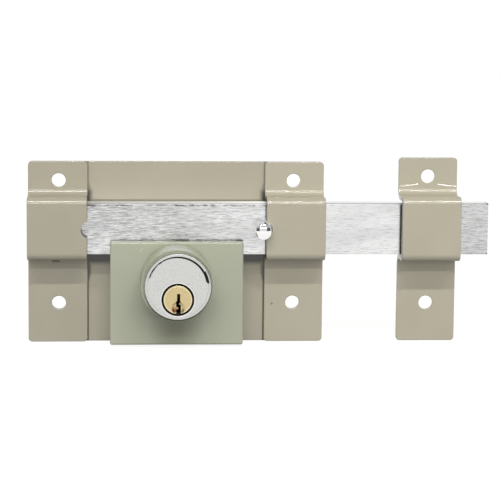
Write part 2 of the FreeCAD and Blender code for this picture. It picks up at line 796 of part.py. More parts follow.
def dog_brake_spring():
    """Bowed leaf in the right rail that rubs the dog and holds it where it is."""
    crown_x = dog_right + brake_gap
    low = rail_middle_z - brake_length / 2
    high = rail_middle_z + brake_length / 2

    def bow(shift):
        ends = [FreeCAD.Vector(crown_x + brake_rise + shift, 0, z) for z in (low, high)]
        crown = FreeCAD.Vector(crown_x + shift, 0, rail_middle_z)
        return Part.Arc(ends[0], crown, ends[1]).toShape(), ends

    near, near_ends = bow(0)
    far, far_ends = bow(brake_sheet)
    outline = Part.Wire([near, Part.makeLine(near_ends[1], far_ends[1]), far,
                         Part.makeLine(far_ends[0], near_ends[0])])
    leaf = Part.Face(outline).extrude(FreeCAD.Vector(0, brake_width, 0))
    leaf.translate(FreeCAD.Vector(0, dog_middle_y - brake_width / 2, 0))
    return leaf


def inner_cylinder_screws():
    screws = []
    z = cylinder_axis_z + cylinder_screw_rise
    for x in (-cylinder_screw_x, cylinder_screw_x):
        head = rod(cylinder_screw_head, cover_inner_y, cover_inner_y + cylinder_screw_head_height, x, z)
        shank = rod(cylinder_screw_radius, cover_inner_y, cover_front_y - cylinder_screw_grip, x, z)
        screws.append(joined([head, shank]))
    return Part.makeCompound(screws)


def outer_cylinder_screws():
    end_y = outer_cylinder.at(cylinder_length) + long_screw_grip
    screws = []
    for x in (-long_screw_x, long_screw_x):
        head_end = front_of_plate + long_screw_head - long_screw_radius
        head = cone(long_screw_head, long_screw_radius, front_of_plate, head_end, x, cylinder_axis_z)
        shank = rod(long_screw_radius, head_end, end_y, x, cylinder_axis_z)
        screws.append(joined([head, shank]))
    return Part.makeCompound(screws)


def inner_cylinder_body():
    body = inner_cylinder.body(cylinder_radius)
    holes = [rod(cylinder_screw_radius, cover_front_y + cut_over, cover_front_y - cylinder_screw_grip,
                 x, cylinder_axis_z + cylinder_screw_rise)
             for x in (-cylinder_screw_x, cylinder_screw_x)]
    return body.cut(holes)


def outer_cylinder_body():
    back = outer_cylinder.at(cylinder_length)
    body = outer_cylinder.body(outer_head_radius)
    holes = [rod(long_screw_radius, back - cut_over, back + long_screw_grip, x, cylinder_axis_z)
             for x in (-long_screw_x, long_screw_x)]
    return body.cut(holes)


def outer_cylinder_rose():
    """Domed trim ring clamped between the door and the head of the outer cylinder."""
    back = door_thickness
    front = door_thickness + rose_thickness
    ring = cone(rose_radius, rose_radius - rose_thickness, back, front, 0, cylinder_axis_z)
    return ring.cut(rod(cylinder_radius + rose_gap, back - cut_over, front + cut_over, 0, cylinder_axis_z))


left_rail, right_rail = rail_places()

parts = {
    "base_plate": base_plate(),
    "left_guide_bracket": guide_bracket(-1),
    "right_guide_bracket": guide_bracket(1),
    "strike_bracket": strike_bracket(),
    "bolt_bar": bolt_bar(),
    "bolt_knob": bolt_knob(),
    "lock_cover": lock_cover(),
    "cover_screws": cover_screws(),
    "cylinder_collar": cylinder_collar(),
    "inner_cylinder_body": inner_cylinder_body(),
    "inner_cylinder_screws": inner_cylinder_screws(),
    "inner_spring_cover": inner_cylinder.spring_cover(),
    "inner_driver_pins": inner_cylinder.driver_pins(),
    "inner_pin_springs": inner_cylinder.pin_springs(),
    "inner_plug": inner_cylinder.plug(),
    "inner_key_pins": inner_cylinder.key_pins(),
    "inner_plug_clip": inner_cylinder.plug_clip(),
    "inner_tailpiece": inner_tailpiece(),
    "outer_cylinder_body": outer_cylinder_body(),
    "outer_cylinder_rose": outer_cylinder_rose(),
    "outer_cylinder_screws": outer_cylinder_screws(),
    "outer_spring_cover": outer_cylinder.spring_cover(),
    "outer_driver_pins": outer_cylinder.driver_pins(),
    "outer_pin_springs": outer_cylinder.pin_springs(),
    "outer_plug": outer_cylinder.plug(),
    "outer_key_pins": outer_cylinder.key_pins(),
    "outer_plug_clip": outer_cylinder.plug_clip(),
    "outer_tailpiece": outer_tailpiece(),
    "cam_hub": cam_hub(),
    "locking_dog": locking_dog(),
    "dog_rail_left": dog_rail(*left_rail, pocket=False),
    "dog_rail_right": dog_rail(*right_rail, pocket=True),
    "dog_brake_spring": dog_brake_spring(),
    "guide_rivets": guide_rivets(),
}

os.makedirs("parts", exist_ok=True)
for name, shape in parts.items():
    if not shape.isValid():
        print("not valid:", name)
    shape.exportStep("parts/" + name + ".step")
    print(name, len(shape.Solids), round(shape.Volume, 3))
print("bar travel", round(bar_travel, 3), "dog lift", round(cam_lift, 4))
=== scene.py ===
import json
import math
import bpy
import bmesh
from mathutils import Matrix, Vector


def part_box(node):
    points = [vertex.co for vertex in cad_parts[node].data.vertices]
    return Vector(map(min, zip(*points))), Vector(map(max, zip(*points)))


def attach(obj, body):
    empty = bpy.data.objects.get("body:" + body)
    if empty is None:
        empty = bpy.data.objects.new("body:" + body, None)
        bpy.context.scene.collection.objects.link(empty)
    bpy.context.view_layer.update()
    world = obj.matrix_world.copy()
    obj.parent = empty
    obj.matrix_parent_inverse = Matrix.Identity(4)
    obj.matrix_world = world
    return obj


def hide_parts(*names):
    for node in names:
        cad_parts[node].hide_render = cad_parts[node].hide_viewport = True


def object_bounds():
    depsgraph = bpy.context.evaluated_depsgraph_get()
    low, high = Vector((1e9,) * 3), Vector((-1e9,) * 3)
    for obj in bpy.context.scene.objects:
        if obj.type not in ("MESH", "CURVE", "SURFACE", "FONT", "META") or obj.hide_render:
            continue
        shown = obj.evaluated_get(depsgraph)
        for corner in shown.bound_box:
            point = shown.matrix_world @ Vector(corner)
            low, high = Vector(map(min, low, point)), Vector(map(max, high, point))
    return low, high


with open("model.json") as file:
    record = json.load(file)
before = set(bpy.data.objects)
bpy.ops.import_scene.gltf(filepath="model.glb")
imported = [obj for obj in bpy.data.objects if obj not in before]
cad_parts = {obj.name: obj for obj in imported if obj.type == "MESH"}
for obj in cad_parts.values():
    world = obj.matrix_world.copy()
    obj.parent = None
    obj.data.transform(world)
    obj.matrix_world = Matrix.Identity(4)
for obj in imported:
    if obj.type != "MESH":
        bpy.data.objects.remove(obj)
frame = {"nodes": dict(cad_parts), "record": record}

cadLow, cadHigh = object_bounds()
nodes = frame["nodes"]
mm = 0.001
print("frame loaded,", len(nodes), "nodes")


# the places and widths in the dictionaries below are in millimetres
def metres(sizes):
    return [size * mm for size in sizes]


def faceCentre(node):  # a node's middle along X and Z, as seen from the room
    low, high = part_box(node)
    return (low.x + high.x) / 2, (low.z + high.z) / 2


def halfWidth(node):
    low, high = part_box(node)
    return (high.x - low.x) / 2


# shader helpers

def newMaterial(name):
    material = bpy.data.materials.new(name)
    material.use_nodes = True
    tree = material.node_tree
    shader = tree.nodes["Principled BSDF"]
    return material, tree, shader


def plug(tree, value, socket):  # the value is a number, a colour or another node's output
    if isinstance(value, (int, float)):
        socket.default_value = value
    elif isinstance(value, tuple):
        socket.default_value = (*value, 1)
    else:
        tree.links.new(value, socket)


def objectCoords(tree, scale=(1, 1, 1)):
    coords = tree.nodes.new("ShaderNodeTexCoord")
    mapping = tree.nodes.new("ShaderNodeMapping")
    mapping.inputs["Scale"].default_value = scale
    tree.links.new(coords.outputs["Object"], mapping.inputs["Vector"])
    return mapping.outputs["Vector"]


def alongAxes(tree, axes="XYZ"):
    split = tree.nodes.new("ShaderNodeSeparateXYZ")
    tree.links.new(objectCoords(tree), split.inputs["Vector"])
    return [split.outputs[axis] for axis in axes]


def maths(tree, operation, first, *others):  # several values are worked from left to right
    for other in others or (0.0,):
        node = tree.nodes.new("ShaderNodeMath")
        node.operation = operation
        plug(tree, first, node.inputs[0])
        plug(tree, other, node.inputs[1])
        first = node.outputs["Value"]
    return first


def times(tree, *values):
    return maths(tree, "MULTIPLY", *values)


def plus(tree, *values):
    return maths(tree, "ADD", *values)


def minus(tree, *values):
    return maths(tree, "SUBTRACT", *values)


def largest(tree, *values):
    return maths(tree, "MAXIMUM", *values)


def noise(tree, vector, scale, detail, rough):
    node = tree.nodes.new("ShaderNodeTexNoise")
    node.inputs["Scale"].default_value = scale
    node.inputs["Detail"].default_value = detail
    node.inputs["Roughness"].default_value = rough
    tree.links.new(vector, node.inputs["Vector"])
    return node.outputs["Fac"]


def remap(tree, value, low, high, toLow=0, toHigh=1):
    node = tree.nodes.new("ShaderNodeMapRange")
    node.inputs["From Min"].default_value = low
    node.inputs["From Max"].default_value = high
    node.inputs["To Min"].default_value = toLow
    node.inputs["To Max"].default_value = toHigh
    tree.links.new(value, node.inputs["Value"])
    return node.outputs["Result"]


def within(tree, value, low, high, soft):  # 1 from low to high, fading out over the soft width
    return times(tree, remap(tree, value, low - soft, low), remap(tree, value, high, high + soft, 1, 0))


def distanceFrom(tree, first, firstCentre, second, secondCentre):
    a = minus(tree, first, firstCentre)
    b = minus(tree, second, secondCentre)
    return maths(tree, "SQRT", plus(tree, times(tree, a, a), times(tree, b, b)))


faceDepth = (0.1, 0.3)  # marks on a face fade out over these depths


def onFace(tree, y, node):  # 1 on the node's face to the room, 0 behind it
    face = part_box(node)[0].y
    near, far = metres(faceDepth)
    return remap(tree, y, face + near, face + far, 1, 0)


def depthBehind(tree, y, node, way):  # way is 1 for the face to the room, -1 for the one away from it
    low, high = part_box(node)
    face = low.y if way > 0 else high.y
    return times(tree, minus(tree, y, face), float(way))


def blendNumbers(tree, factor, first, second, kind="FLOAT"):
    node = tree.nodes.new("ShaderNodeMix")
    node.data_type = kind
    tree.links.new(factor, node.inputs["Factor"])
    plug(tree, first, node.inputs["A"])
    plug(tree, second, node.inputs["B"])
    return node.outputs["Result"]


def blendColours(tree, factor, first, second):
    return blendNumbers(tree, factor, first, second, "RGBA")


def bump(tree, height, strength, distance, below=None):
    node = tree.nodes.new("ShaderNodeBump")
    node.inputs["Strength"].default_value = strength
    node.inputs["Distance"].default_value = distance
    tree.links.new(height, node.inputs["Height"])
    if below is not None:
        tree.links.new(below, node.inputs["Normal"])
    return node.outputs["Normal"]


# paint; each noise is its scale, detail and roughness, and heights are in metres

paintSkin = {"rough": (0.11, 0.17), "gloss": 0.75, "cloud": (40, 4, 0.6), "cloudRange": (0.35, 0.65),
             "peel": (700, 2, 0.5), "peelRange": (0.3, 0.7), "peelStrength": 0.5, "peelHeight": 0.000008}
beigePaint = {**paintSkin, "colour": (0.436, 0.406, 0.314), "dark": (0.414, 0.384, 0.294)}
greenPaint = {**paintSkin, "colour": (0.441, 0.462, 0.354), "dark": (0.416, 0.436, 0.331)}
# shadeAndChipMarks: a dark colour for painted shade and for chips, a painted shadow slit under the left
# strap, and a real chip in the paint
shadeAndChipMarks = {"colour": (0.035, 0.03, 0.018), "slit": (-55.1, -51.9, -9.0, -7.3), "slitSoft": (0.2, 0.15),
              "slitDark": 0.85, "chip": (43.0, -28.0), "chipRadius": (0.32, 0.64), "chipDark": 0.6}
strikeCrease = {"outer": 24.9, "reach": 12.4, "slope": 0.1, "hole": (2.2, 4.6), "lift": 1.5,
                "arch": 23.9, "width": 0.3, "height": 0.00016}
coverScratch = {"colour": (0.58, 0.60, 0.50), "across": 0.233, "down": 0.078, "slope": 50, "long": 2.0,
                "wide": 0.22, "soft": (0.3, 0.1)}


def toned(paint, tone):  # painted light: the same paint, lighter or darker for how brightly the piece is lit
    return {**paint, "colour": tuple(c * tone for c in paint["colour"]),
            "dark": tuple(c * tone for c in paint["dark"])}


# shadeAndChips gives dark marks, mostly painted shade with a real chip, crease raised lines, and scratch a
# light line
def paintMaterial(name, paint, shadeAndChips=None, crease=None, shadeAndChipColour=shadeAndChipMarks["colour"], scratch=None):
    material, tree, shader = newMaterial(name)
    coords = objectCoords(tree)
    cloud = noise(tree, coords, *paint["cloud"])
    peel = noise(tree, coords, *paint["peel"])
    colour = blendColours(tree, remap(tree, cloud, *paint["cloudRange"]), paint["colour"], paint["dark"])
    if shadeAndChips is not None:
        colour = blendColours(tree, shadeAndChips(tree), colour, shadeAndChipColour)
    if scratch is not None:
        colour = blendColours(tree, scratch(tree), colour, coverScratch["colour"])
    tree.links.new(colour, shader.inputs["Base Color"])
    tree.links.new(remap(tree, peel, *paint["peelRange"], *paint["rough"]), shader.inputs["Roughness"])
    shader.inputs["Specular IOR Level"].default_value = paint["gloss"]
    normal = bump(tree, peel, paint["peelStrength"], paint["peelHeight"])
    if crease is not None:
        normal = bump(tree, crease(tree), 1.0, strikeCrease["height"], normal)
    tree.links.new(normal, shader.inputs["Normal"])
    return material


def slitShadow(tree):  # painted shadow on the left bracket, just under its strap
    x, z = alongAxes(tree, "XZ")
    left, right, low, high = metres(shadeAndChipMarks["slit"])
    softX, softZ = metres(shadeAndChipMarks["slitSoft"])
    return times(tree, within(tree, x, left, right, softX), within(tree, z, low, high, softZ),
                 shadeAndChipMarks["slitDark"])


def chipMark(tree):  # a speck left of the right bracket's lower screw hole
    x, z = alongAxes(tree, "XZ")
    chipX, chipZ = metres(shadeAndChipMarks["chip"])
    away = distanceFrom(tree, x, chipX, z, chipZ)
    return remap(tree, away, *metres(shadeAndChipMarks["chipRadius"]), shadeAndChipMarks["chipDark"], 0)


# upper and lower are bands along Z with the width that each adds to the line
plateShade = {"line": 0.3, "soft": 0.45, "dark": 0.93, "upper": (18.4, 22.8, 0.45),
             "lower": (-14.5, -6.0, 0.3), "bandFade": 4.0, "softer": 3.2, "faintFrom": (22.0, 24.0),
             "faint": 0.5, "barLine": (-0.3, 0.5), "barSoft": 0.25, "barDark": 0.5, "underBar": 4.0,
             "underSoft": 2.4, "underDark": 0.94}


# painted shade on the plate: dark lines along both brackets, wider beside their bends, a line over the bar,
# and a painted shadow under it
def plateShadeMark(tree):
    x, y, z = alongAxes(tree)
    barLow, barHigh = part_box("bolt_bar")
    away = minus(tree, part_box("right_guide_bracket")[0].x, maths(tree, "ABSOLUTE", x))
    wider = 0.0
    for band in ("upper", "lower"):
        low, high, more = metres(plateShade[band])
        inBand = within(tree, z, low, high, plateShade["bandFade"] * mm)
        wider = plus(tree, times(tree, inBand, more), wider)
    past = minus(tree, away, plateShade["line"] * mm, wider)
    soft = plus(tree, times(tree, wider, plateShade["softer"]), plateShade["soft"] * mm)
    sides = times(tree, remap(tree, maths(tree, "DIVIDE", past, soft), 0, 1, plateShade["dark"], 0),
                  remap(tree, z, *metres(plateShade["faintFrom"]), 1, plateShade["faint"]))
    fall, rise = metres(plateShade["barLine"])
    over = within(tree, z, barHigh.z + fall, barHigh.z + rise, plateShade["barSoft"] * mm)
    drop = plateShade["underBar"] * mm
    under = within(tree, z, barLow.z - drop, barLow.z + drop, plateShade["underSoft"] * mm)
    dark = largest(tree, sides, times(tree, over, plateShade["barDark"]),
                   times(tree, under, plateShade["underDark"]))
    return times(tree, dark, onFace(tree, y, "base_plate"))


def scratchMark(tree):  # near the upper left corner of the box
    x, y, z = alongAxes(tree)
    low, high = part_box("lock_cover")
    fromX = minus(tree, x, low.x + (high.x - low.x) * coverScratch["across"])
    fromZ = minus(tree, z, high.z - (high.z - low.z) * coverScratch["down"])
    slope = math.radians(coverScratch["slope"])
    along = plus(tree, times(tree, fromX, math.cos(slope)), times(tree, fromZ, math.sin(slope)))
    aside = minus(tree, times(tree, fromX, math.sin(slope)), times(tree, fromZ, math.cos(slope)))
    half = coverScratch["long"] / 2 * mm
    wide = coverScratch["wide"] / 2 * mm
    endSoft, sideSoft = metres(coverScratch["soft"])
    return times(tree, within(tree, along, -half, half, endSoft), within(tree, aside, -wide, wide, sideSoft),
                 onFace(tree, y, "lock_cover"))


# painted shadow: its olive colour, the ring, and the shade and spot on the box under the collar
collarShade = {"colour": (0.085, 0.095, 0.035), "ring": 0.45, "ringDark": 0.25, "shadowReach": 10.0,
              "shadowDark": 0.8, "below": (2.0, 7.0), "aside": (3.0, 13.0), "asideLeft": 0.1,
              "spotDrop": 5.5, "spot": (2.0, 13.0), "spotDark": 0.62, "tube": (0.5, 9.0), "tubeDark": 0.7}


# a thin dark ring round the collar, and a painted shadow on the box below it
def collarShadowMark(tree):
    x, y, z = alongAxes(tree)
    middleX, middleZ = faceCentre("cylinder_collar")
    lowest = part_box("cylinder_collar")[0].z
    radius = halfWidth("cylinder_collar")
    away = distanceFrom(tree, x, middleX, z, middleZ)
    ring = remap(tree, away, radius, radius + collarShade["ring"] * mm, collarShade["ringDark"], 0)
    near = remap(tree, away, radius, radius + collarShade["shadowReach"] * mm, collarShade["shadowDark"], 0)
    sideways = maths(tree, "ABSOLUTE", minus(tree, x, middleX))
    middle = remap(tree, sideways, *metres(collarShade["aside"]), 1, collarShade["asideLeft"])
    start, end = metres(collarShade["below"])
    below = remap(tree, z, lowest + start, lowest + end, 1, 0)
    fromSpot = distanceFrom(tree, x, middleX, z, lowest - collarShade["spotDrop"] * mm)
    spot = remap(tree, fromSpot, *metres(collarShade["spot"]), collarShade["spotDark"], 0)
    dark = largest(tree, ring, spot, times(tree, near, below, middle))
    return times(tree, dark, onFace(tree, y, "lock_cover"))


# painted shadow: the lower part of the collar is darkened like the box below it
def collarUnderShade(tree):
    z = alongAxes(tree, "Z")[0]
    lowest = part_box("cylinder_collar")[0].z
    start, end = metres(collarShade["tube"])
    return remap(tree, z, lowest + start, lowest + end, collarShade["tubeDark"], 0)


strapEndShade = {"raised": (-7.0, -8.0), "line": (0.02, 0.25), "dark": 0.9, "strapBack": -14.0, "mouth": 6.0,
          "inside": 0.3, "barGap": 1.0, "soft": 0.1}


# painted shade: the left end of a strap is dark in front of the bar, and so is the mouth of its tunnel
def strapEndShadeMark(node, marks=None):
    def mark(tree):
        x, y, z = alongAxes(tree)
        barLow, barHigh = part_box("bolt_bar")
        away = maths(tree, "ABSOLUTE", minus(tree, x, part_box(node)[0].x))
        gap = strapEndShade["barGap"] * mm
        soft = strapEndShade["soft"] * mm
        start, end = metres(strapEndShade["raised"])
        mouth = times(tree, within(tree, z, barLow.z - gap, barHigh.z + gap, soft),
                      within(tree, y, strapEndShade["strapBack"] * mm, start, soft),
                      remap(tree, away, 0, strapEndShade["mouth"] * mm, 1, strapEndShade["inside"]))
        edge = times(tree, remap(tree, away, *metres(strapEndShade["line"]), 1, 0),
                     remap(tree, y, start, end, 0, strapEndShade["dark"]))
        dark = largest(tree, mouth, edge)
        return dark if marks is None else largest(tree, dark, marks(tree))
    return mark


# the flange is drawn a little over its bend: two creases run down from the hole
def creaseHeight(tree):
    x, z = alongAxes(tree, "XZ")
    sideways = maths(tree, "ABSOLUTE", minus(tree, x, faceCentre("strike_bracket")[0]))
    inwards = minus(tree, strikeCrease["reach"] * mm, sideways)
    lift = remap(tree, sideways, *metres(strikeCrease["hole"]), strikeCrease["lift"] * mm, 0)
    line = plus(tree, times(tree, inwards, strikeCrease["slope"]), lift)
    above = minus(tree, z, strikeCrease["outer"] * mm, line)
    width = strikeCrease["width"] * mm
    arch = strikeCrease["arch"] * mm
    return plus(tree, remap(tree, above, 0, width, 1, 0), remap(tree, z, arch, arch + width, 1, 0))


# ground bar

groundSteel = {
    "light": (0.79, 0.79, 0.795), "cloudy": (0.66, 0.66, 0.665), "streaky": (0.31, 0.31, 0.31),
    "streakSize": (240, 2500, 2500), "streakNoise": (1.0, 5, 0.62),
    "fineSize": (620, 7200, 7200), "fineNoise": (1.0, 3, 0.6), "fineShare": 0.5,
    "cloudSize": (35, 130, 130), "cloudNoise": (1.0, 3, 0.55), "cloudRange": (0.40, 0.68),
    "lineRange": (0.72, 1.00), "rough": (0.16, 0.28), "roughRange": (0.3, 0.7),
    "relief": 0.000004, "reliefStrength": 0.5, "grooves": 0.75, "grooveTurn": 0.25,
    "dirtyEnd": (-50.0, 25.0, 70.0), "dirt": (0.15, 0.02, -0.10), "dirtUpwards": (0.4, 1.0),
    "farEnd": 14.0, "farDirt": -0.2, "tip": (116.0, 120.0), "tipGrey": 0.16, "tipLines": 0.75,
    "edge": (0.7, 0.28), "paintedEdgeLighting": (0.43, 0.43, 0.43), "edgeRough": 0.75,
    "rounding": (0.15, 0.4), "roundingShade": 0.9, "plateEnd": (50.0, 54.0),
    "paintedTopLight": (0.95, 0.94, 0.92), "topStart": (0.2, 0.4), "topPastPlate": 0.6}
barShadeAndDarkLines = {"colour": (0.10, 0.095, 0.09), "size": (260, 900, 900), "noise": (1.0, 3, 0.6),
            "broken": (0.47, 0.60), "soft": 0.15, "edgeDrop": (0.75, 1.35), "edgeReach": 41.0,
            "reachSoft": 4.0, "coverDrop": (-0.2, 0.5), "corner": (0.54, 0.9)}


def steelMaterial(name, steel):
    material, tree, shader = newMaterial(name)
    shader.inputs["Metallic"].default_value = 1
    x, y, z = alongAxes(tree)
    low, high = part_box("bolt_bar")
    streak = noise(tree, objectCoords(tree, steel["streakSize"]), *steel["streakNoise"])
    fine = noise(tree, objectCoords(tree, steel["fineSize"]), *steel["fineNoise"])
    cloud = noise(tree, objectCoords(tree, steel["cloudSize"]), *steel["cloudNoise"])
    base = blendColours(tree, remap(tree, cloud, *steel["cloudRange"]), steel["light"], steel["cloudy"])
    # the end that rests in the guides is scratched darker, most of all along its top
    left, middle, right = metres(steel["dirtyEnd"])
    atLeft, atMiddle, pastMiddle = steel["dirt"]
    sideways = plus(tree, remap(tree, x, left, middle, atLeft, atMiddle),
                    remap(tree, x, middle, right, 0, pastMiddle),
                    remap(tree, x, left - steel["farEnd"] * mm, left, steel["farDirt"], 0))
    dirty = times(tree, sideways, remap(tree, z, low.z, high.z, *steel["dirtUpwards"]))
    tip = remap(tree, x, *metres(steel["tip"]), 0, steel["tipGrey"])
    scratches = plus(tree, streak, times(tree, fine, steel["fineShare"]), dirty,
                     times(tree, tip, steel["tipLines"]))
    lines = largest(tree, remap(tree, scratches, *steel["lineRange"]), tip)
    colour = blendColours(tree, lines, base, steel["streaky"])
    # painted highlight on the narrow top, which is also dull over the plate, and painted shade on the
    # rounding in front of it, coloured grey
    depth = minus(tree, y, low.y)
    starts, full = metres(steel["edge"])
    worn = remap(tree, z, high.z - starts, high.z - full)
    overPlate = remap(tree, x, *metres(steel["plateEnd"]), 1, 0)
    onTop = times(tree, worn, largest(tree, overPlate, steel["topPastPlate"]),
                  remap(tree, depth, *metres(steel["topStart"])))
    colour = blendColours(tree, onTop, colour, steel["paintedTopLight"])
    rounded = times(tree, worn, remap(tree, depth, *metres(steel["rounding"]), steel["roundingShade"], 0))
    colour = blendColours(tree, rounded, colour, steel["paintedEdgeLighting"])
    colour = blendColours(tree, shadeAndDarkLinesOnBar(tree), colour, barShadeAndDarkLines["colour"])
    tree.links.new(colour, shader.inputs["Base Color"])
    dull = times(tree, largest(tree, rounded, times(tree, worn, overPlate)), steel["edgeRough"])
    rough = plus(tree, remap(tree, streak, *steel["roughRange"], *steel["rough"]), dull)
    tree.links.new(rough, shader.inputs["Roughness"])
    shader.inputs["Anisotropic"].default_value = steel["grooves"]
    shader.inputs["Anisotropic Rotation"].default_value = steel["grooveTurn"]
    tree.links.new(bump(tree, streak, steel["reliefStrength"], steel["relief"]), shader.inputs["Normal"])
    return material


# broken dark lines along the top edge and above the box, the one above the box painted shade of the gap
# there, and dark corners at the nose
def shadeAndDarkLinesOnBar(tree):
    x, z = alongAxes(tree, "XZ")
    low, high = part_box("bolt_bar")
    coverLow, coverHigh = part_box("lock_cover")
    patches = noise(tree, objectCoords(tree, barShadeAndDarkLines["size"]), *barShadeAndDarkLines["noise"])
    soft = barShadeAndDarkLines["soft"] * mm
    drop, deeper = metres(barShadeAndDarkLines["edgeDrop"])
    reach = barShadeAndDarkLines["edgeReach"] * mm
    atEdge = times(tree, within(tree, z, high.z - deeper, high.z - drop, soft),
                   within(tree, x, -reach, reach, barShadeAndDarkLines["reachSoft"] * mm))
    fall, rise = metres(barShadeAndDarkLines["coverDrop"])
    atCover = times(tree, within(tree, z, coverHigh.z + fall, coverHigh.z + rise, soft),
                    within(tree, x, coverLow.x, coverHigh.x, soft))
    lines = times(tree, largest(tree, atEdge, atCover), remap(tree, patches, *barShadeAndDarkLines["broken"]))
    nearest = maths(tree, "MINIMUM", distanceFrom(tree, x, high.x, z, high.z),
                    distanceFrom(tree, x, high.x, z, low.z))
    return largest(tree, lines, remap(tree, nearest, *metres(barShadeAndDarkLines["corner"]), 1, 0))


# plated and turned metal

chromePlate = {"colour": (0.64, 0.64, 0.625), "dark": (0.57, 0.57, 0.555), "rough": (0.14, 0.22),
               "scale": 1400}
turnedBrass = {"colour": (0.67, 0.55, 0.305), "dark": (0.60, 0.49, 0.26), "rough": (0.24, 0.36),
               "scale": 1100}
studChrome = {"colour": (0.90, 0.90, 0.90), "dark": (0.88, 0.88, 0.88), "rough": (0.03, 0.06),
              "scale": 1400}
zincSteel = {"colour": (0.60, 0.60, 0.60), "dark": (0.48, 0.48, 0.49), "rough": (0.34, 0.5),
             "scale": 600}
springSteel = {"colour": (0.45, 0.45, 0.46), "dark": (0.34, 0.34, 0.35), "rough": (0.25, 0.4),
               "scale": 600}
metalGrain = {"detail": 4, "rough": 0.6, "colourRange": (0.35, 0.65), "roughRange": (0.3, 0.7),
              "relief": 0.00001, "reliefStrength": 0.3}
# oilAndShade: the black of old oil on the pins, also used for painted shade in the cylinders' and plugs'
# recesses
oilAndShade = {"colour": (0.012, 0.010, 0.008), "rough": 0.8, "pinNoise": (300, 2, 0.5),
          "pinRange": (0.3, 0.7), "pinBlack": (0.9, 1.0)}


# dirt blackens what lies in recesses, as painted shade on the cylinders and plugs and as old oil on the pins:
# it gives the colour, how black it is and how matt
def metalMaterial(name, metal, dirt=None):
    material, tree, shader = newMaterial(name)
    grain = noise(tree, objectCoords(tree), metal["scale"], metalGrain["detail"], metalGrain["rough"])
    colour = blendColours(tree, remap(tree, grain, *metalGrain["colourRange"]), metal["colour"],
                          metal["dark"])
    rough = remap(tree, grain, *metalGrain["roughRange"], *metal["rough"])
    if dirt is None:
        shader.inputs["Metallic"].default_value = 1
    else:
        colour, black, rough = dirt(tree, colour, rough)
        colour = blendColours(tree, black, colour, oilAndShade["colour"])
        rough = largest(tree, rough, times(tree, black, oilAndShade["rough"]))
        tree.links.new(minus(tree, 1.0, black), shader.inputs["Metallic"])
    tree.links.new(colour, shader.inputs["Base Color"])
    tree.links.new(rough, shader.inputs["Roughness"])
    tree.links.new(bump(tree, grain, metalGrain["reliefStrength"], metalGrain["relief"]),
                   shader.inputs["Normal"])
    return material


# shadeArcFrom and rightSpan are heights over the cylinder's axis
cylinderFace = {
    "axis": -15.2, "plugAxis": -20.9, "soft": 0.1, "seamDepth": (0.72, 0.95), "seamRadius": (13.15, 13.25),
    "rim": (7.0, 7.08), "lip": (6.8, 7.9), "lipSoft": 0.2, "edge": (12.9, 13.1), "edgeRough": 0.45,
    "specks": (900, 2, 0.5), "speckRange": (0.74, 0.78), "speckDark": 0.7,
    "shadeArc": (12.55, 13.1), "shadeArcSoft": 0.12, "shadeArcFrom": (1.5, 4.0), "shadeArcNoise": (420, 3, 0.6),
    "shadeArcRange": (0.44, 0.52), "right": (12.7, 13.6), "rightSpan": (1.8, 6.5), "rightSoft": 1.0,
    "rightLevel": 0.7, "bored": (7.15, 7.4), "boreHighlight": 0.8, "boreHighlightColour": (0.95, 0.95, 0.94)}
plugFace = {"copper": (0.30, 0.13, 0.05), "scoop": (0.04, 0.3), "leftPart": (-0.6, 1.4), "onRight": 0.25,
            "lowerPart": (-25.2, -23.6), "above": 0.12, "slot": (0.85, 1.4), "rim": (6.12, 6.22),
            "edge": (5.65, 5.95), "edgeSoft": 0.1, "edgeHighlight": 0.6, "paintedEdgeLighting": (0.92, 0.84, 0.62)}


# painted shade: black in the seam and round the plug, with dark specks of dirt, and a painted highlight at
# the mouth of the bore
def cylinderShadeAndSpecks(node, way):
    def dirt(tree, colour, rough):
        x, y, z = alongAxes(tree)
        fromAxis = distanceFrom(tree, x, 0.0, z, cylinderFace["axis"] * mm)
        fromPlug = distanceFrom(tree, x, 0.0, z, cylinderFace["plugAxis"] * mm)
        depth = depthBehind(tree, y, node, way)
        seam = times(tree, remap(tree, depth, *metres(cylinderFace["seamDepth"])),
                     remap(tree, fromAxis, *metres(cylinderFace["seamRadius"]), 1, 0))
        rim = remap(tree, fromPlug, *metres(cylinderFace["rim"]), 1, 0)
        specks = noise(tree, objectCoords(tree), *cylinderFace["specks"])
        speckled = remap(tree, specks, *cylinderFace["speckRange"], 0, cylinderFace["speckDark"])
        shadedArc = remap(tree, seamShadeArc(tree, x, z, fromAxis), *cylinderFace["shadeArcRange"])
        bored = within(tree, fromPlug, *metres(cylinderFace["bored"]), cylinderFace["soft"] * mm)
        colour = blendColours(tree, times(tree, bored, cylinderFace["boreHighlight"]), colour,
                              cylinderFace["boreHighlightColour"])
        edge = remap(tree, fromAxis, *metres(cylinderFace["edge"]), 0, cylinderFace["edgeRough"])
        lip = within(tree, fromPlug, *metres(cylinderFace["lip"]), cylinderFace["lipSoft"] * mm)
        rough = largest(tree, rough, edge, times(tree, lip, cylinderFace["edgeRough"]))
        return colour, largest(tree, seam, rim, speckled, shadedArc), rough
    return dirt


# painted shade: a broken dark arc beside the seam over the top of the face, heaviest at its right
def seamShadeArc(tree, x, z, fromAxis):
    height = minus(tree, z, cylinderFace["axis"] * mm)
    rightSoft = cylinderFace["rightSoft"] * mm
    arc = within(tree, fromAxis, *metres(cylinderFace["shadeArc"]), cylinderFace["shadeArcSoft"] * mm)
    top = times(tree, arc, remap(tree, height, *metres(cylinderFace["shadeArcFrom"])),
                noise(tree, objectCoords(tree), *cylinderFace["shadeArcNoise"]))
    right = times(tree, within(tree, fromAxis, *metres(cylinderFace["right"]), cylinderFace["soft"] * mm),
                  within(tree, height, *metres(cylinderFace["rightSpan"]), rightSoft),
                  remap(tree, x, 0, rightSoft, 0, cylinderFace["rightLevel"]))
    return largest(tree, top, right)


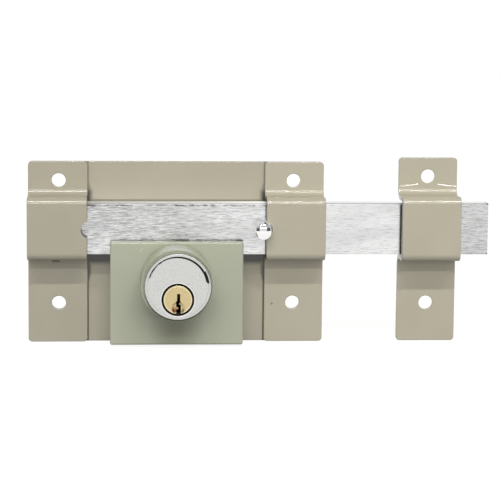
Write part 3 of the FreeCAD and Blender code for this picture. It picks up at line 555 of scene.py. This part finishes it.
# the scallop at the keyway is worn to copper; painted shade makes the slot and the ring round the plug black,
# and a painted highlight makes the turned edge light
def plugWearAndShade(node, way):
    def dirt(tree, colour, rough):
        x, y, z = alongAxes(tree)
        depth = depthBehind(tree, y, node, way)
        fromPlug = distanceFrom(tree, x, 0.0, z, cylinderFace["plugAxis"] * mm)
        left = remap(tree, times(tree, x, float(way)), *metres(plugFace["leftPart"]), 1, plugFace["onRight"])
        lower = remap(tree, z, *metres(plugFace["lowerPart"]), 1, plugFace["above"])
        worn = times(tree, remap(tree, depth, *metres(plugFace["scoop"])), left, lower)
        colour = blendColours(tree, worn, colour, plugFace["copper"])
        edge = within(tree, fromPlug, *metres(plugFace["edge"]), plugFace["edgeSoft"] * mm)
        colour = blendColours(tree, times(tree, edge, plugFace["edgeHighlight"]), colour, plugFace["paintedEdgeLighting"])
        black = largest(tree, remap(tree, fromPlug, *metres(plugFace["rim"])),
                        remap(tree, depth, *metres(plugFace["slot"])))
        return colour, black, rough
    return dirt


def pinDirt(tree, colour, rough):
    patches = noise(tree, objectCoords(tree), *oilAndShade["pinNoise"])
    return colour, remap(tree, patches, *oilAndShade["pinRange"], *oilAndShade["pinBlack"]), rough


# painted light: the right bracket and the strike are coloured lighter than the left bracket, as if lit more
# brightly
litTones = {"left": 0.97, "right": 1.10, "strike": 1.11}
finishes = {
    "bracket_paint": paintMaterial("beigePaint", beigePaint),
    "cover_paint": paintMaterial("greenPaint", greenPaint),
    "bar_steel": steelMaterial("groundSteel", groundSteel),
    "chrome_plate": metalMaterial("chromePlate", chromePlate),
    "plug_brass": metalMaterial("turnedBrass", turnedBrass),
    "zinc_steel": metalMaterial("zincSteel", zincSteel),
    "spring_steel": metalMaterial("springSteel", springSteel),
}
ownFinishes = {
    "base_plate": paintMaterial("platePaint", beigePaint, plateShadeMark),
    "left_guide_bracket": paintMaterial("slitShadedPaint", toned(beigePaint, litTones["left"]), slitShadow),
    "right_guide_bracket": paintMaterial("chippedShadedPaint", toned(beigePaint, litTones["right"]),
                                         strapEndShadeMark("right_guide_bracket", chipMark)),
    "strike_bracket": paintMaterial("creasedShadedPaint", toned(beigePaint, litTones["strike"]),
                                    strapEndShadeMark("strike_bracket"), creaseHeight),
    "lock_cover": paintMaterial("boxPaint", greenPaint, collarShadowMark,
                                shadeAndChipColour=collarShade["colour"], scratch=scratchMark),
    "cylinder_collar": paintMaterial("collarPaint", greenPaint, collarUnderShade, shadeAndChipColour=collarShade["colour"]),
    "inner_cylinder_body": metalMaterial("innerChrome", chromePlate, cylinderShadeAndSpecks("inner_cylinder_body", 1)),
    "outer_cylinder_body": metalMaterial("outerChrome", chromePlate, cylinderShadeAndSpecks("outer_cylinder_body", -1)),
    "inner_plug": metalMaterial("innerPlugBrass", turnedBrass, plugWearAndShade("inner_plug", 1)),
    "outer_plug": metalMaterial("outerPlugBrass", turnedBrass, plugWearAndShade("outer_plug", -1)),
    "inner_key_pins": metalMaterial("oiledPins", turnedBrass, pinDirt),
}
ownFinishes["outer_key_pins"] = ownFinishes["inner_key_pins"]


def dressNodes():
    for row in frame["record"]["subparts"]:
        piece = nodes[row["node"]]
        material = ownFinishes.get(row["node"], finishes[row["material_slot"]])
        piece.data.materials.clear()
        piece.data.materials.append(material)


dressNodes()
print("nodes dressed")


# new pieces

sharpAngle = 35  # degrees between faces, past which their edge stays sharp


def addPiece(name, mesh, material):
    for face in mesh.faces:
        face.smooth = True
    data = bpy.data.meshes.new(name)
    mesh.to_mesh(data)
    mesh.free()
    data.set_sharp_from_angle(angle=math.radians(sharpAngle))
    data.materials.append(material)
    piece = bpy.data.objects.new(name, data)
    bpy.context.scene.collection.objects.link(piece)
    return piece


# collar

collarShape = {"mouthGap": 0.06, "rimSlope": 0.75, "rounding": 0.3, "roundSteps": 4, "segments": 160}


def ringLoop(mesh, centreX, centreZ, y, radius):
    turn = Matrix.Translation((centreX, y, centreZ)) @ Matrix.Rotation(math.radians(90), 4, "X")
    made = bmesh.ops.create_circle(mesh, segments=collarShape["segments"], radius=radius, matrix=turn)
    return list({edge for vertex in made["verts"] for edge in vertex.link_edges})


# the collar stands a little up and left, but its mouth is bored to fit round the cylinder
def makeCollar():
    low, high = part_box("cylinder_collar")
    x, z = faceCentre("cylinder_collar")
    outer = halfWidth("cylinder_collar")
    boreX, boreZ = faceCentre("inner_cylinder_body")
    bore = halfWidth("inner_cylinder_body") + collarShape["mouthGap"] * mm
    rounding = collarShape["rounding"] * mm
    mesh = bmesh.new()
    loops = [ringLoop(mesh, x, z, high.y, outer)]
    for step in range(collarShape["roundSteps"] + 1):
        angle = math.radians(90 * step / collarShape["roundSteps"])
        loops.append(ringLoop(mesh, x, z, low.y + rounding * (1 - math.sin(angle)),
                              outer - rounding * (1 - math.cos(angle))))
    loops.append(ringLoop(mesh, boreX, boreZ, low.y + collarShape["rimSlope"] * mm, bore))
    loops.append(ringLoop(mesh, boreX, boreZ, high.y, bore))
    for first, second in zip(loops, loops[1:] + loops[:1]):
        bmesh.ops.bridge_loops(mesh, edges=first + second)
    bmesh.ops.recalc_face_normals(mesh, faces=mesh.faces)
    collar = addPiece("shieldCollar", mesh, ownFinishes["cylinder_collar"])
    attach(collar, "case")
    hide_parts("cylinder_collar")


makeCollar()
print("collar made")


# stud for the hand

handStud = {"domeRadius": 6.0, "domeSteps": 10, "rounding": 0.25, "corner": 0.075, "shank": 2.5,
            "steps": 96, "merge": 0.01}


# turns a half outline, pairs of depth and radius, about an axis along Y
def turned(centreX, centreZ, outline):
    mesh = bmesh.new()
    points = [mesh.verts.new((centreX + radius, depth, centreZ)) for depth, radius in outline]
    edges = [mesh.edges.new(pair) for pair in zip(points, points[1:])]
    bmesh.ops.spin(mesh, geom=points + edges, cent=(centreX, 0, centreZ), axis=(0, 1, 0),
                   angle=2 * math.pi, steps=handStud["steps"], use_merge=True, use_duplicate=False)
    bmesh.ops.remove_doubles(mesh, verts=mesh.verts, dist=handStud["merge"] * mm)
    bmesh.ops.recalc_face_normals(mesh, faces=mesh.faces)
    return mesh


# the head is more strongly domed than its solid
def makeStud():
    low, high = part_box("bolt_knob")
    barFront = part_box("bolt_bar")[0].y
    radius = halfWidth("bolt_knob")
    dome = handStud["domeRadius"] * mm
    rounding = handStud["rounding"] * mm
    corner = handStud["corner"] * mm
    shank = handStud["shank"] * mm
    widest = math.asin((radius - rounding) / dome)
    outline = []
    for step in range(handStud["domeSteps"] + 1):
        angle = widest * step / handStud["domeSteps"]
        outline.append((low.y + dome * (1 - math.cos(angle)), dome * math.sin(angle)))
    side = outline[-1][0] + rounding
    outline += [(side - corner, radius - corner), (side, radius), (barFront, radius), (barFront, shank),
                (high.y, shank), (high.y, 0.0)]
    stud = addPiece("handStud", turned(*faceCentre("bolt_knob"), outline),
                    metalMaterial("studChrome", studChrome))
    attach(stud, "bolt")
    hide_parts("bolt_knob")


makeStud()
print("stud made")


# room

# seenShine is what the camera sees, mirrorShine what gloss on the part mirrors
floorPlate = {"size": 6.0, "colour": (0.160, 0.155, 0.145), "rough": 0.9, "seenShine": 0.9,
              "mirrorShine": 0.88}


def makeFloor():
    material, tree, shader = newMaterial("paleFloor")
    shader.inputs["Base Color"].default_value = (*floorPlate["colour"], 1)
    shader.inputs["Roughness"].default_value = floorPlate["rough"]
    shader.inputs["Emission Color"].default_value = (1, 1, 1, 1)
    rays = tree.nodes.new("ShaderNodeLightPath")
    mirrored = times(tree, firstMirror(tree, rays), floorPlate["mirrorShine"])
    seen = times(tree, rays.outputs["Is Camera Ray"], floorPlate["seenShine"])
    tree.links.new(largest(tree, mirrored, seen), shader.inputs["Emission Strength"])
    mesh = bmesh.new()
    bmesh.ops.create_grid(mesh, x_segments=1, y_segments=1, size=floorPlate["size"] / 2)
    bmesh.ops.translate(mesh, verts=mesh.verts, vec=(0, 0, cadLow.z))
    addPiece("floor", mesh, material)


# 1 where metal or gloss that the camera sees mirrors the room, 0 after a soft bounce
def firstMirror(tree, rays):
    direct = maths(tree, "LESS_THAN", rays.outputs["Diffuse Depth"], 0.5)
    return times(tree, rays.outputs["Is Glossy Ray"], direct)


# fill lights the part, least from above; the glows are what metal mirrors: a wall behind the door, a
# ceiling, and a wall in front with dark corners at its sides
room = {"fill": (1.30, 0.14), "fillFades": (0.15, 0.65), "fillColour": (1.0, 0.98, 0.92),
        "plainColour": (1.0, 1.0, 1.0), "backGlow": 0.95, "frontGlow": 0.8, "frontFades": (-0.3, 0.1),
        "ceilingGlow": 0.5, "ceilingFades": (0.35, 0.50), "corners": (0.55, 0.9), "cornerSoft": 0.08,
        "cornerGlow": 0.10}


def makeWorld():
    world = bpy.data.worlds.new("softRoom")
    world.use_nodes = True
    tree = world.node_tree
    back = tree.nodes["Background"]
    coords = tree.nodes.new("ShaderNodeTexCoord")
    split = tree.nodes.new("ShaderNodeSeparateXYZ")
    tree.links.new(coords.outputs["Generated"], split.inputs["Vector"])
    x, y, z = (split.outputs[axis] for axis in "XYZ")
    front = remap(tree, y, *room["frontFades"], 1, 0)
    low = remap(tree, z, *room["ceilingFades"], 1, 0)
    sideways = maths(tree, "ABSOLUTE", x)
    corners = times(tree, front, within(tree, sideways, *room["corners"], room["cornerSoft"]))
    walls = minus(tree, remap(tree, front, 0, 1, room["backGlow"], room["frontGlow"]),
                  times(tree, corners, room["frontGlow"] - room["cornerGlow"]))
    ceiling = times(tree, minus(tree, 1.0, low), room["ceilingGlow"])
    glow = plus(tree, times(tree, walls, low), ceiling)
    rays = tree.nodes.new("ShaderNodeLightPath")
    seen = rays.outputs["Is Camera Ray"]
    mirrored = firstMirror(tree, rays)
    fill = remap(tree, z, *room["fillFades"], *room["fill"])
    level = blendNumbers(tree, seen, blendNumbers(tree, mirrored, fill, glow), 1)
    tree.links.new(level, back.inputs["Strength"])
    plain = largest(tree, seen, mirrored)
    tree.links.new(blendColours(tree, plain, room["fillColour"], room["plainColour"]), back.inputs["Color"])
    bpy.context.scene.world = world


lampAim = (0.06, 0, 0)
lamps = {
    "upperLamp": {"angle": 51, "turn": 2, "distance": 2.8, "size": (2.4, 0.06), "power": 40.5},
    "lowerLamp": {"angle": 29, "turn": 2, "distance": 2.8, "size": (2.4, 0.06), "power": 17.2},
}


def makeLamps():
    for name, lamp in lamps.items():
        data = bpy.data.lights.new(name, "AREA")
        data.shape = "RECTANGLE"
        data.size, data.size_y = lamp["size"]
        data.energy = lamp["power"]
        light = bpy.data.objects.new(name, data)
        angle = math.radians(lamp["angle"])  # above the way out of the door
        turn = math.radians(lamp["turn"])  # to the right of it
        out = Vector((math.sin(turn) * math.cos(angle), -math.cos(turn) * math.cos(angle), math.sin(angle)))
        light.location = Vector(lampAim) + out * lamp["distance"]
        light.rotation_euler = (-out).to_track_quat("-Z", "Y").to_euler()
        bpy.context.scene.collection.objects.link(light)


photoCamera = {"place": (-20.51, -793.37, 108.80), "target": (26.093, -4.0, 18.847), "focalPixels": 1784.3,
               "roll": 0.491, "frame": 500, "sensor": 36.0, "shift": (0.03, -0.10), "clip": (0.01, 50)}


def makeCamera():
    data = bpy.data.cameras.new("photoCamera")
    data.sensor_width = photoCamera["sensor"]
    data.lens = photoCamera["focalPixels"] / photoCamera["frame"] * photoCamera["sensor"]
    data.shift_x, data.shift_y = photoCamera["shift"]
    data.clip_start, data.clip_end = photoCamera["clip"]
    camera = bpy.data.objects.new("photoCamera", data)
    place = Vector(photoCamera["place"]) * mm
    target = Vector(photoCamera["target"]) * mm
    aim = (target - place).to_track_quat("-Z", "Y").to_matrix()
    roll = Matrix.Rotation(math.radians(photoCamera["roll"]), 3, "Z")
    camera.matrix_world = Matrix.Translation(place) @ (aim @ roll).to_4x4()
    bpy.context.scene.collection.objects.link(camera)
    bpy.context.scene.camera = camera


makeFloor()
makeWorld()
makeLamps()
makeCamera()
bpy.context.scene.view_settings.view_transform = "Standard"
print("room, lamps and camera ready")
